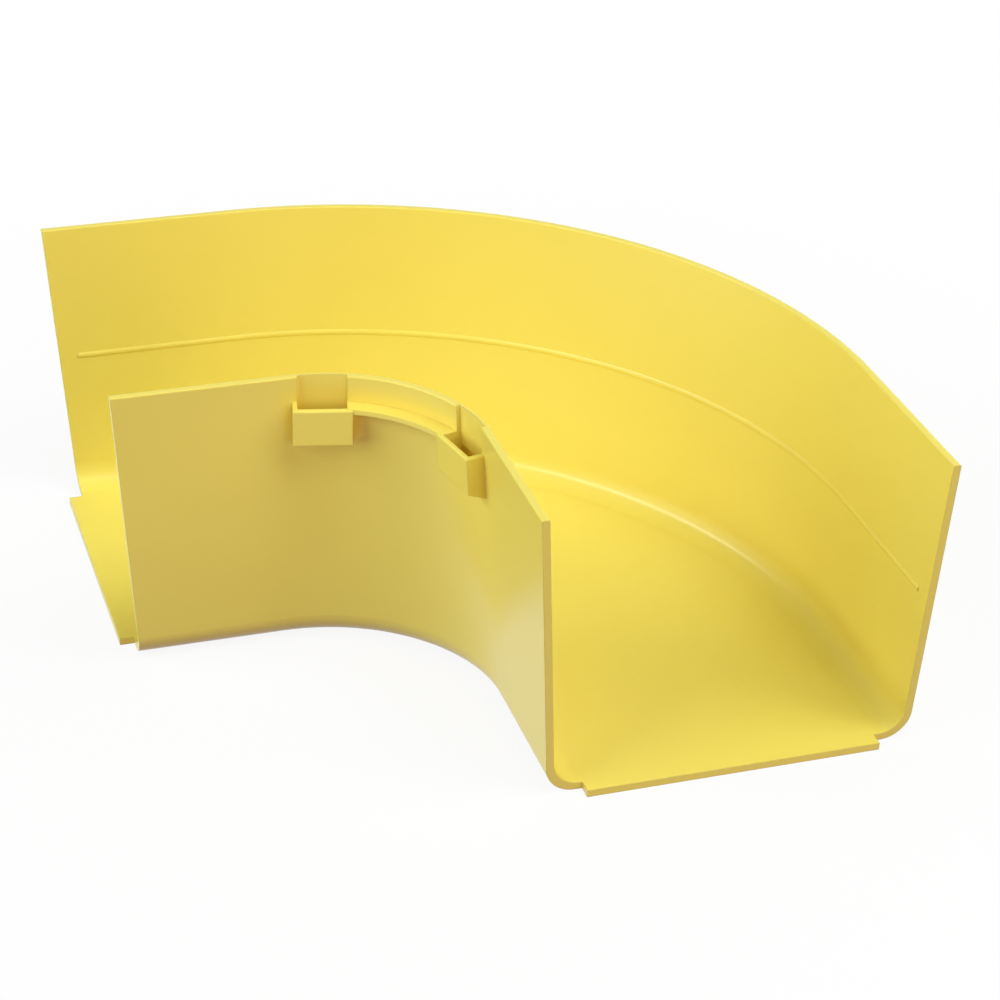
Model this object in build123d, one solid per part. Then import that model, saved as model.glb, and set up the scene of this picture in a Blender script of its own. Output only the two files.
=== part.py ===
# Elbow of an open fibre raceway: one yellow moulding, a U-shaped trough that turns 90 degrees in plan.
# It is drawn about the vertical axis of the inner wall's bend, with the underside at zero height.
# Leg one runs towards -X and leg two towards -Y, each the mirror image of the other.
import os
from math import cos, hypot, radians, sin, tan

from build123d import *

# Trough, in millimetres and degrees
height = 102.5  # underside to rim
base_width = 121.8  # from outer face to outer face, measured at the underside
wall = 2.5
floor = 2.5
inner_wall_draft = 4.3  # the walls lean outwards by these
outer_wall_draft = 1.7
leg = 56.6  # straight run past the inner bend, measured at the rim
end_draft = 4.1  # each end leans by this, so that the rim reaches further than the floor
bend_radius = 56.8  # outer face of the inner wall at the underside
bend_shift = 10.1  # the outer wall's bend has its centre this far out along both legs

# Corners of the section
inner_wall_round = 10.0
inner_wall_fillet = 9.0
outer_wall_round = 10.0
outer_wall_fillet = 8.0
rim_round = 0.5

# Floor tongues, which carry the floor on between the corners of the section
tongue_reach = 5.0  # past the end of the underside
tongue_inset_inner = 11.5  # from the inner wall's outer face
tongue_inset_outer = 12.1  # from the outer wall's outer face

# Clip pockets on the outside of the inner wall, one at each end of the bend
pocket_turn = 12.4  # from the end of the bend to the pocket's middle, in degrees
pocket_width = 19.0
pocket_proud = 7.1
pocket_drop = 9.2  # rim down to the pocket's mouth
pocket_height = 12.8
pocket_heel = 3.1  # the underside falls by this from the pocket's front to the wall
pocket_round = 0.7  # edges of the pocket's front
pocket_wall = 1.6
pocket_floor = 2.0
recess_depth = 1.3  # how far the clip's seat is let into the wall

# Ledge between the pockets, level with their mouths
ledge_thickness = 1.6

# Cable ridge along the inside of the outer wall
ridge_height = 53.6
ridge_width = 2.2
ridge_proud = 0.4
ridge_setback = 10.0  # from each end of the run

# One overrun serves every cut that passes a face
overrun = 5.0

inner_lean = tan(radians(inner_wall_draft))
outer_lean = tan(radians(outer_wall_draft))
end_lean = tan(radians(end_draft))
outer_line = bend_radius + base_width
floor_strip_share = 0.2
floor_strip = base_width * floor_strip_share  # width of floor that each wall's section carries
bend_axis = Axis.Z
outer_bend_axis = Axis((bend_shift, bend_shift, 0), (0, 0, 1))
diagonal = Plane(origin=(0, 0, 0), z_dir=(1, -1, 0))
quarter = 90.0

inner_section_plane = Plane(origin=(0, bend_radius, 0), x_dir=(0, 1, 0), z_dir=(1, 0, 0))
outer_section_plane = Plane(origin=(bend_shift, outer_line, 0), x_dir=(0, -1, 0), z_dir=(-1, 0, 0))


def end_x(z):
    """Where leg one's end face stands at a height."""
    return -leg + (height - z) * end_lean


def both_legs(solid):
    """A feature of leg one together with its mirror image on leg two."""
    return solid + mirror(solid, about=diagonal)


def level_wall(lean):
    """The thickness of a leaning wall, measured level."""
    return wall * hypot(1, lean)


def wall_section(lean, outside_round, inside_fillet):
    """One wall with its bottom corner and a strip of floor. X runs from the wall's face into the trough."""
    rim_outside = (-height * lean, height)
    rim_inside = (level_wall(lean) - height * lean, height)
    inside_foot = (level_wall(lean) - floor * lean, floor)
    strip_end = (floor_strip, floor), (floor_strip, 0)
    section = make_face(Polyline((0, 0), rim_outside, rim_inside, inside_foot, *strip_end, close=True))
    for corner, radius in (
        ((0, 0), outside_round),
        (inside_foot, inside_fillet),
        (rim_outside, rim_round),
        (rim_inside, rim_round),
    ):
        section = fillet(section.vertices().sort_by_distance(corner)[0], radius)
    return section


def carried_round(section, axis, run):
    """A section turned through the bend and drawn out along both legs."""
    turned = revolve(section, axis=axis, revolution_arc=-quarter)
    return turned + both_legs(extrude(section, amount=run, dir=(-1, 0, 0)))


def floor_plate():
    """The floor between the two walls' own strips."""
    near = bend_radius + floor_strip
    far = outer_line - floor_strip
    end = -leg - overrun
    outline = [
        Line((end, near), (0, near)),
        CenterArc((0, 0), near, quarter, -quarter),
        Line((near, 0), (near, end)),
        Line((near, end), (far, end)),
        Line((far, end), (far, bend_shift)),
        CenterArc((bend_shift, bend_shift), far - bend_shift, 0, quarter),
        Line((bend_shift, far), (end, far)),
        Line((end, far), (end, near)),
    ]
    return extrude(make_face(outline), amount=floor, dir=(0, 0, 1))


def end_trim():
    """Everything past leg one's leaning end face."""
    top = height + overrun
    beyond = end_x(top) - 2 * overrun
    outline = Polyline(
        (end_x(top), top), (end_x(-overrun), -overrun), (beyond, -overrun), (beyond, top), close=True
    )
    reach = outer_line + height * outer_lean + overrun
    return extrude(Plane.XZ * make_face(outline), amount=reach, both=True)


def tongue():
    """The flat tongue that carries on the floor past leg one's end."""
    tip = end_x(0) - tongue_reach
    side_near = bend_radius + tongue_inset_inner
    side_far = outer_line - tongue_inset_outer
    length = tongue_reach + wall
    plate = Box(length, side_far - side_near, floor, align=(Align.MIN, Align.MIN, Align.MIN))
    return Pos(tip, side_near, 0) * plate


def bend_core(offset, top):
    """The space inside the bend, out to a surface that lies an offset behind the inner wall's face."""
    radius = bend_radius + offset
    return Cone(radius, radius - top * inner_lean, top, align=(Align.CENTER, Align.CENTER, Align.MIN))


mouth = height - pocket_drop
pocket_base = mouth - pocket_height
pocket_side = Plane(
    origin=(bend_radius * sin(radians(pocket_turn)), bend_radius * cos(radians(pocket_turn)), 0),
    x_dir=(sin(radians(pocket_turn)), cos(radians(pocket_turn)), 0),
    z_dir=(cos(radians(pocket_turn)), -sin(radians(pocket_turn)), 0),
)


def pocket_body():
    """The pocket's block: a front parallel to the wall, and an underside that falls towards it."""
    heel = pocket_base - pocket_heel
    outline = Polyline(
        (-mouth * inner_lean - pocket_proud, mouth),
        (wall, mouth),
        (wall, heel),
        (-heel * inner_lean, heel),
        (-pocket_base * inner_lean - pocket_proud, pocket_base),
        close=True,
    )
    block = extrude(pocket_side * make_face(outline), amount=pocket_width / 2, both=True)
    front = block.faces().sort_by_distance((0, 0, mouth))[0]
    block = fillet(front.edges(), pocket_round)
    return block & bend_core(wall / 2, height)


def pocket_cut():
    """The clip's slot in the pocket, and the seat let into the wall above it up to the rim."""
    top = height + overrun
    base = pocket_base + pocket_floor
    reach = pocket_proud - pocket_wall
    outline = Polyline(
        (-top * inner_lean - reach, top),
        (wall, top),
        (wall, base),
        (-base * inner_lean - reach, base),
        close=True,
    )
    slot = extrude(pocket_side * make_face(outline), amount=pocket_width / 2 - pocket_wall, both=True)
    return slot & bend_core(recess_depth, top)


def ledge():
    """The ledge round the bend. Its front edge meets the rounded front corners of both pockets."""
    face = bend_radius - mouth * inner_lean
    front = hypot(face - pocket_proud, pocket_width / 2) + pocket_round / 2
    back = face + wall / 2
    under = mouth - ledge_thickness
    outline = Polyline((front, mouth), (back, mouth), (back, under), (front, under), close=True)
    start = Plane.XZ.rotated((0, 0, pocket_turn)) * make_face(outline)
    return revolve(start, axis=bend_axis, revolution_arc=quarter - 2 * pocket_turn)


def ridge():
    """The low ridge that runs along the inside of the outer wall."""
    foot = level_wall(outer_lean) - ridge_height * outer_lean
    half = ridge_width / 2
    back = foot - wall / 2
    lower = (foot + half * outer_lean, ridge_height - half)
    upper = (foot - half * outer_lean, ridge_height + half)
    nose = ThreePointArc(lower, (foot + ridge_proud, ridge_height), upper)
    rest = Polyline(upper, (back, ridge_height + half), (back, ridge_height - half), lower)
    section = outer_section_plane * make_face([nose, rest])
    return carried_round(section, outer_bend_axis, bend_shift + leg - ridge_setback)


def elbow():
    """The whole moulding."""
    run = leg + overrun
    inner_wall = inner_section_plane * wall_section(inner_lean, inner_wall_round, inner_wall_fillet)
    outer_wall = outer_section_plane * wall_section(outer_lean, outer_wall_round, outer_wall_fillet)
    trough = carried_round(inner_wall, bend_axis, run) + floor_plate()
    trough += carried_round(outer_wall, outer_bend_axis, run + bend_shift)
    trough -= both_legs(end_trim())
    trough += both_legs(tongue())
    trough += ridge()
    trough += both_legs(pocket_body()) + ledge()
    trough -= both_legs(pocket_cut())
    return trough


moulding = elbow()
box = moulding.bounding_box()
moulding = Pos(-box.center().X, -box.center().Y, -box.min.Z) * moulding
moulding.label = "elbow_trough"

os.makedirs("parts", exist_ok=True)
export_step(moulding, "parts/elbow_trough.step")
print("elbow_trough", moulding.is_valid, len(moulding.solids()), moulding.volume, moulding.bounding_box())
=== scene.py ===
import math

import bpy
from mathutils import Matrix, Vector


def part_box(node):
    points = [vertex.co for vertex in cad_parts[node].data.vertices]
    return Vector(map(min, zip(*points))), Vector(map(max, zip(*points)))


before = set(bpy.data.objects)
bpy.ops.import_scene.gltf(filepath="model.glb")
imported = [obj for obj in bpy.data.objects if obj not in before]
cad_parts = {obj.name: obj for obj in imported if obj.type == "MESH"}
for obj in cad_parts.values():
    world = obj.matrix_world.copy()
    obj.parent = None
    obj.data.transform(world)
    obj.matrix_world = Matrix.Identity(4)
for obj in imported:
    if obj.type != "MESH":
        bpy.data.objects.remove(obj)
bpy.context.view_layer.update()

# Looks of an open fibre raceway elbow: one yellow moulding on a pale studio floor.
boxLow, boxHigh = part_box("elbow_trough")
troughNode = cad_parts["elbow_trough"]
mm = 0.001
print("frame loaded, box in mm:", [round(side / mm, 1) for side in boxHigh - boxLow])

# The moulded plastic. Colours are linear, lengths in metres.
plastic = {
    "colour": (0.90, 0.765, 0.142, 1.0),
    "deepColour": (0.885, 0.74, 0.128, 1.0),  # where the melt flowed thinner
    "edgeWearAndHighlightColour": (0.92, 0.80, 0.19, 1.0),  # paler edges, part rubbed wear and part painted highlight
    "roughness": 0.29,
    "roughnessSpread": 0.03,  # either way
    "ior": 1.53,
    "flowSize": 45 * mm,
    "flowDetail": 2.0,
    "flowStretch": (1.0, 1.0, 2.6),  # the clouds are longest upwards
    "glossSize": 13.5 * mm,
    "glossDetail": 4.0,
    "grainSize": 0.7 * mm,
    "grainDetail": 2.0,
    "grainHeight": 0.004 * mm,
    "waveSize": 14 * mm,
    "waveDetail": 1.0,
    "waveHeight": 0.02 * mm,
    "creviceReach": 9 * mm,
    "creviceSamples": 3,  # each pixel takes many looks at it, so a few rays are enough
    "creviceShadeTint": (0.97, 0.85, 0.72, 1.0),  # painted shade: in crowded corners the colour is multiplied by this darker, warmer tint, standing in for the light that bounces about there
    "edgeRadius": 0.4 * mm,
    "edgeSamples": 3,
    "edgeGain": 5.0,  # how soon a rounded normal counts as an edge
    "edgePale": 0.25,
}


def setOrLink(tree, socket, value):
    # joins a socket to another, or sets it to a plain value
    if isinstance(value, bpy.types.NodeSocket):
        tree.links.new(value, socket)
    else:
        socket.default_value = value


def colourMix(tree, factor, first, second, blend="MIX"):
    node = tree.nodes.new("ShaderNodeMix")
    node.data_type = "RGBA"
    node.blend_type = blend
    # the node keeps one set of sockets for each data type: 0 is the factor, 6 and 7 are the colours
    for place, value in ((0, factor), (6, first), (7, second)):
        setOrLink(tree, node.inputs[place], value)
    return node.outputs[2]


def shaderMix(tree, factor, first, second):
    node = tree.nodes.new("ShaderNodeMixShader")
    for socket, value in zip(node.inputs, (factor, first, second)):
        setOrLink(tree, socket, value)
    return node.outputs[0]


def arithmetic(tree, operation, *values, clamp=False):
    node = tree.nodes.new("ShaderNodeMath")
    node.operation = operation
    node.use_clamp = clamp
    for socket, value in zip(node.inputs, values):
        setOrLink(tree, socket, value)
    return node.outputs[0]


def smoothRange(tree, value, reach, low, high):
    # goes softly from low to high while the value crosses its reach
    node = tree.nodes.new("ShaderNodeMapRange")
    node.interpolation_type = "SMOOTHSTEP"
    tree.links.new(value, node.inputs["Value"])
    node.inputs["From Min"].default_value, node.inputs["From Max"].default_value = reach
    node.inputs["To Min"].default_value, node.inputs["To Max"].default_value = low, high
    return node.outputs["Result"]


def noise(tree, vector, size, detail):
    # cloud noise from 0 to 1 whose lumps are about one size across
    node = tree.nodes.new("ShaderNodeTexNoise")
    tree.links.new(vector, node.inputs["Vector"])
    setOrLink(tree, node.inputs["Scale"], arithmetic(tree, "DIVIDE", 1.0, size))
    node.inputs["Detail"].default_value = detail
    return node.outputs["Fac"]


def newGroup(name, inputs, outputs):
    # an empty node group with named sockets, and its own input and output nodes
    group = bpy.data.node_groups.new(name, "ShaderNodeTree")
    for direction, sockets in (("INPUT", inputs), ("OUTPUT", outputs)):
        for label, kind in sockets.items():
            group.interface.new_socket(label, in_out=direction, socket_type="NodeSocket" + kind)
    given = group.nodes.new("NodeGroupInput").outputs
    result = group.nodes.new("NodeGroupOutput").inputs
    return group, given, result


def placeGroup(tree, group, values):
    node = tree.nodes.new("ShaderNodeGroup")
    node.node_tree = group
    for label, value in values.items():
        setOrLink(tree, node.inputs[label], value)
    return node.outputs


def mouldGrainGroup():
    # height of the skin: fine spark grain on broad sinking waves
    sizes = ("Grain Size", "Grain Height", "Wave Size", "Wave Height")
    inputs = {"Vector": "Vector", **{label: "Float" for label in sizes}}
    group, given, result = newGroup("mouldGrain", inputs, {"Height": "Float"})
    grain = noise(group, given["Vector"], given["Grain Size"], plastic["grainDetail"])
    wave = noise(group, given["Vector"], given["Wave Size"], plastic["waveDetail"])
    grain = arithmetic(group, "MULTIPLY", grain, given["Grain Height"])
    wave = arithmetic(group, "MULTIPLY", wave, given["Wave Height"])
    group.links.new(arithmetic(group, "ADD", grain, wave), result["Height"])
    return group


def flowGroup():
    # soft clouds along the mould's flow, as a mask, and a finer one for the gloss
    inputs = {"Vector": "Vector", "Stretch": "Vector", "Size": "Float", "Gloss Size": "Float"}
    group, given, result = newGroup("mouldFlow", inputs, {"Mask": "Float", "Gloss": "Float"})
    scaled = group.nodes.new("ShaderNodeVectorMath")
    scaled.operation = "DIVIDE"
    group.links.new(given["Vector"], scaled.inputs[0])
    group.links.new(given["Stretch"], scaled.inputs[1])
    mask = noise(group, scaled.outputs[0], given["Size"], plastic["flowDetail"])
    gloss = noise(group, scaled.outputs[0], given["Gloss Size"], plastic["glossDetail"])
    group.links.new(mask, result["Mask"])
    group.links.new(gloss, result["Gloss"])
    return group


def softEdgeGroup():
    # rounds the shading over sharp edges, and marks them for the paler edges, part wear and part
    # painted highlight
    outputs = {"Normal": "Vector", "Edge": "Float"}
    group, given, result = newGroup("softEdge", {"Radius": "Float", "Gain": "Float"}, outputs)
    bevel = group.nodes.new("ShaderNodeBevel")
    bevel.samples = plastic["edgeSamples"]
    group.links.new(given["Radius"], bevel.inputs["Radius"])
    flat = group.nodes.new("ShaderNodeNewGeometry")
    turn = group.nodes.new("ShaderNodeVectorMath")
    turn.operation = "DOT_PRODUCT"
    group.links.new(bevel.outputs["Normal"], turn.inputs[0])
    group.links.new(flat.outputs["Normal"], turn.inputs[1])
    turned = arithmetic(group, "SUBTRACT", 1.0, turn.outputs["Value"])
    edge = arithmetic(group, "MULTIPLY", turned, given["Gain"], clamp=True)
    group.links.new(bevel.outputs["Normal"], result["Normal"])
    group.links.new(edge, result["Edge"])
    return group


def creviceShadeGroup():
    # marks the corners that other faces crowd round, most where they crowd closest, for the painted
    # shade in them
    group, given, result = newGroup("paintedCreviceShade", {"Reach": "Float"}, {"Mask": "Float"})
    shade = group.nodes.new("ShaderNodeAmbientOcclusion")
    shade.samples = plastic["creviceSamples"]
    group.links.new(given["Reach"], shade.inputs["Distance"])
    crowding = arithmetic(group, "SUBTRACT", 1.0, shade.outputs["AO"])
    group.links.new(arithmetic(group, "MULTIPLY", crowding, crowding), result["Mask"])
    return group


def newMaterial(name):
    material = bpy.data.materials.new(name)
    material.use_nodes = True
    tree = material.node_tree
    tree.nodes.clear()
    output = tree.nodes.new("ShaderNodeOutputMaterial")
    return material, tree, output


def mouldedPlastic():
    material, tree, output = newMaterial("yellowMouldedPlastic")
    place = tree.nodes.new("ShaderNodeTexCoord").outputs["Object"]
    flow = placeGroup(tree, flowGroup(), {
        "Vector": place,
        "Stretch": plastic["flowStretch"],
        "Size": plastic["flowSize"],
        "Gloss Size": plastic["glossSize"],
    })
    skin = placeGroup(tree, mouldGrainGroup(), {
        "Vector": place,
        "Grain Size": plastic["grainSize"],
        "Grain Height": plastic["grainHeight"],
        "Wave Size": plastic["waveSize"],
        "Wave Height": plastic["waveHeight"],
    })
    edges = placeGroup(tree, softEdgeGroup(), {
        "Radius": plastic["edgeRadius"],
        "Gain": plastic["edgeGain"],
    })
    paintedCreviceShade = placeGroup(tree, creviceShadeGroup(), {"Reach": plastic["creviceReach"]})

    # colour: flow clouds, then painted shade that darkens and warms the corners, then paler edges
    # that are part wear and part painted highlight
    body = colourMix(tree, flow["Mask"], plastic["deepColour"], plastic["colour"])
    # painted shade: the crevice mask darkens and warms the colour in corners
    cornerShaded = colourMix(tree, paintedCreviceShade["Mask"], body, plastic["creviceShadeTint"], "MULTIPLY")
    # paler edges: part rubbed wear, part painted highlight
    edgeWearAndHighlight = arithmetic(tree, "MULTIPLY", edges["Edge"], plastic["edgePale"])
    colour = colourMix(tree, edgeWearAndHighlight, cornerShaded, plastic["edgeWearAndHighlightColour"])
    shader = tree.nodes.new("ShaderNodeBsdfPrincipled")
    tree.links.new(colour, shader.inputs["Base Color"])

    # gloss: the cloud moves the roughness by its spread either way
    either = arithmetic(tree, "SUBTRACT", flow["Gloss"], 0.5)
    spread = arithmetic(tree, "MULTIPLY", either, 2 * plastic["roughnessSpread"])
    roughness = arithmetic(tree, "ADD", spread, plastic["roughness"])
    tree.links.new(roughness, shader.inputs["Roughness"])
    shader.inputs["IOR"].default_value = plastic["ior"]

    # relief: the grain lies on top of the softened edges
    bump = tree.nodes.new("ShaderNodeBump")
    bump.inputs["Distance"].default_value = 1.0
    tree.links.new(skin["Height"], bump.inputs["Height"])
    tree.links.new(edges["Normal"], bump.inputs["Normal"])
    tree.links.new(bump.outputs["Normal"], shader.inputs["Normal"])
    tree.links.new(shader.outputs["BSDF"], output.inputs["Surface"])
    return material


troughNode.material_slots[0].material = mouldedPlastic()
print("material on the trough")

# Camera, in metres and degrees
camera = {
    "place": (-0.2383, -0.7580, 0.4948),
    "yaw": -17.89,
    "pitch": -30.3,
    "roll": -1.57,
    "sensor": 36.0,  # in millimetres, as the lens is
    "lens": 98.17,
    "shiftX": 0.020,
    "shiftY": 0.030,
    "clipStart": 0.01,
    "clipEnd": 100.0,
}


def makeCamera():
    data = bpy.data.cameras.new("photoCamera")
    data.sensor_width = camera["sensor"]
    data.lens = camera["lens"]
    data.shift_x = camera["shiftX"]
    data.shift_y = camera["shiftY"]
    data.clip_start = camera["clipStart"]
    data.clip_end = camera["clipEnd"]
    holder = bpy.data.objects.new("photoCamera", data)
    bpy.context.scene.collection.objects.link(holder)
    # an unturned camera looks down, so it is first stood up to look along +Y
    turn = (
        Matrix.Rotation(math.radians(camera["yaw"]), 4, "Z")
        @ Matrix.Rotation(math.radians(camera["pitch"]), 4, "X")
        @ Matrix.Rotation(math.radians(camera["roll"]), 4, "Y")
        @ Matrix.Rotation(math.radians(90), 4, "X")
    )
    holder.matrix_world = Matrix.Translation(camera["place"]) @ turn
    bpy.context.scene.camera = holder


makeCamera()
print("camera set")

# Studio: a wide pale floor, a white surround and soft lamps
studio = {
    "floorHalf": 6.0,
    "floorDrop": 0.05 * mm,  # below the underside, so the two faces never fight
    "floorColour": (0.85, 0.85, 0.85, 1.0),
    "floorBounce": (0.12, 0.05, 0.03, 1.0),  # what the floor throws back at the object
    "floorGlow": 0.9,  # how much of the floor's white is its own near the object
    "glowReach": (0.15, 0.45),  # from here outwards the floor fades to plain white
    "surround": (1.0, 1.0, 1.0, 1.0),
    "ceiling": (0.3, 0.3, 0.3, 1.0),  # what glossy surfaces see overhead, where the surround ends
    "ceilingFrom": (0.15, 0.6),  # as the height of a unit direction
    "surroundLight": 0.0,  # the lamps do all the lighting
    "lampDistance": 1.6,
    "mirroredLamp": "stripBox",  # the only lamp that shows in reflections
}

# each lamp's azimuth, elevation, width, height, power and colour
lamps = {
    "stripBox": (183, 37, 1.8, 0.12, 11.8, (0.95, 1.0, 1.0)),
    "lowBox": (188, 12, 1.6, 0.9, 13.0, (0.94, 0.98, 1.0)),
    "frontBox": (275, 12, 1.3, 0.9, 7.8, (1.0, 0.79, 0.83)),
    "highBox": (300, 64, 0.9, 0.9, 13.2, (0.92, 1.0, 1.0)),
    "rightBox": (330, 38, 0.9, 0.9, 8.6, (1.0, 0.88, 0.79)),
    "backBox": (50, 9, 1.8, 0.6, 18.0, (1.0, 1.0, 1.0)),
}


def seenDirectly(tree):
    # one for the camera and for reflections, zero for the light that the object gets
    path = tree.nodes.new("ShaderNodeLightPath").outputs
    mirrored = arithmetic(tree, "MAXIMUM", path["Is Glossy Ray"], path["Is Transmission Ray"])
    return arithmetic(tree, "MAXIMUM", path["Is Camera Ray"], mirrored)


def makeFloor():
    half, drop = studio["floorHalf"], -studio["floorDrop"]
    corners = [(-half, -half, drop), (half, -half, drop), (half, half, drop), (-half, half, drop)]
    mesh = bpy.data.meshes.new("studioFloor")
    mesh.from_pydata(corners, [], [(0, 1, 2, 3)])
    floor = bpy.data.objects.new("studioFloor", mesh)
    bpy.context.scene.collection.objects.link(floor)

    # matt ground that keeps the shadow, under a glow of its own that fades to plain white outwards
    material, tree, output = newMaterial("paleFloor")
    seen = seenDirectly(tree)
    matt = tree.nodes.new("ShaderNodeBsdfDiffuse")
    ground = colourMix(tree, seen, studio["floorBounce"], studio["floorColour"])
    tree.links.new(ground, matt.inputs["Color"])
    away = tree.nodes.new("ShaderNodeVectorMath")
    away.operation = "LENGTH"
    tree.links.new(tree.nodes.new("ShaderNodeTexCoord").outputs["Object"], away.inputs[0])
    fade = smoothRange(tree, away.outputs["Value"], studio["glowReach"], studio["floorGlow"], 1.0)
    share = arithmetic(tree, "MULTIPLY", seen, fade)
    glow = tree.nodes.new("ShaderNodeEmission")
    surface = shaderMix(tree, share, matt.outputs[0], glow.outputs[0])
    tree.links.new(surface, output.inputs["Surface"])
    mesh.materials.append(material)


def makeWorld():
    world = bpy.data.worlds.new("studioWorld")
    world.use_nodes = True
    tree = world.node_tree
    tree.nodes.clear()
    output = tree.nodes.new("ShaderNodeOutputWorld")
    lighting = tree.nodes.new("ShaderNodeBackground")
    lighting.inputs["Color"].default_value = studio["surround"]
    lighting.inputs["Strength"].default_value = studio["surroundLight"]

    # what is seen: the white surround, with the dimmer ceiling in reflections only
    direction = tree.nodes.new("ShaderNodeSeparateXYZ")
    tree.links.new(tree.nodes.new("ShaderNodeTexCoord").outputs["Generated"], direction.inputs[0])
    rise = smoothRange(tree, direction.outputs["Z"], studio["ceilingFrom"], 0.0, 1.0)
    reflected = tree.nodes.new("ShaderNodeLightPath").outputs["Is Glossy Ray"]
    overhead = arithmetic(tree, "MULTIPLY", rise, reflected)
    view = tree.nodes.new("ShaderNodeBackground")
    seenColour = colourMix(tree, overhead, studio["surround"], studio["ceiling"])
    tree.links.new(seenColour, view.inputs["Color"])
    mixed = shaderMix(tree, seenDirectly(tree), lighting.outputs[0], view.outputs[0])
    tree.links.new(mixed, output.inputs["Surface"])
    bpy.context.scene.world = world


def makeLamp(name, azimuth, elevation, width, height, power, colour):
    # a soft box that looks at the middle of the object
    middle = (boxLow + boxHigh) / 2
    a, e = math.radians(azimuth), math.radians(elevation)
    away = Vector((math.cos(a) * math.cos(e), math.sin(a) * math.cos(e), math.sin(e)))
    data = bpy.data.lights.new(name, "AREA")
    data.shape = "RECTANGLE"
    data.size, data.size_y = width, height
    data.energy = power
    data.color = colour
    lamp = bpy.data.objects.new(name, data)
    bpy.context.scene.collection.objects.link(lamp)
    lamp.visible_glossy = name == studio["mirroredLamp"]
    facing = away.to_track_quat("Z", "Y").to_matrix().to_4x4()
    lamp.matrix_world = Matrix.Translation(middle + away * studio["lampDistance"]) @ facing


makeFloor()
makeWorld()
for name, setting in lamps.items():
    makeLamp(name, *setting)
bpy.context.scene.view_settings.view_transform = "Standard"
print("studio lit")
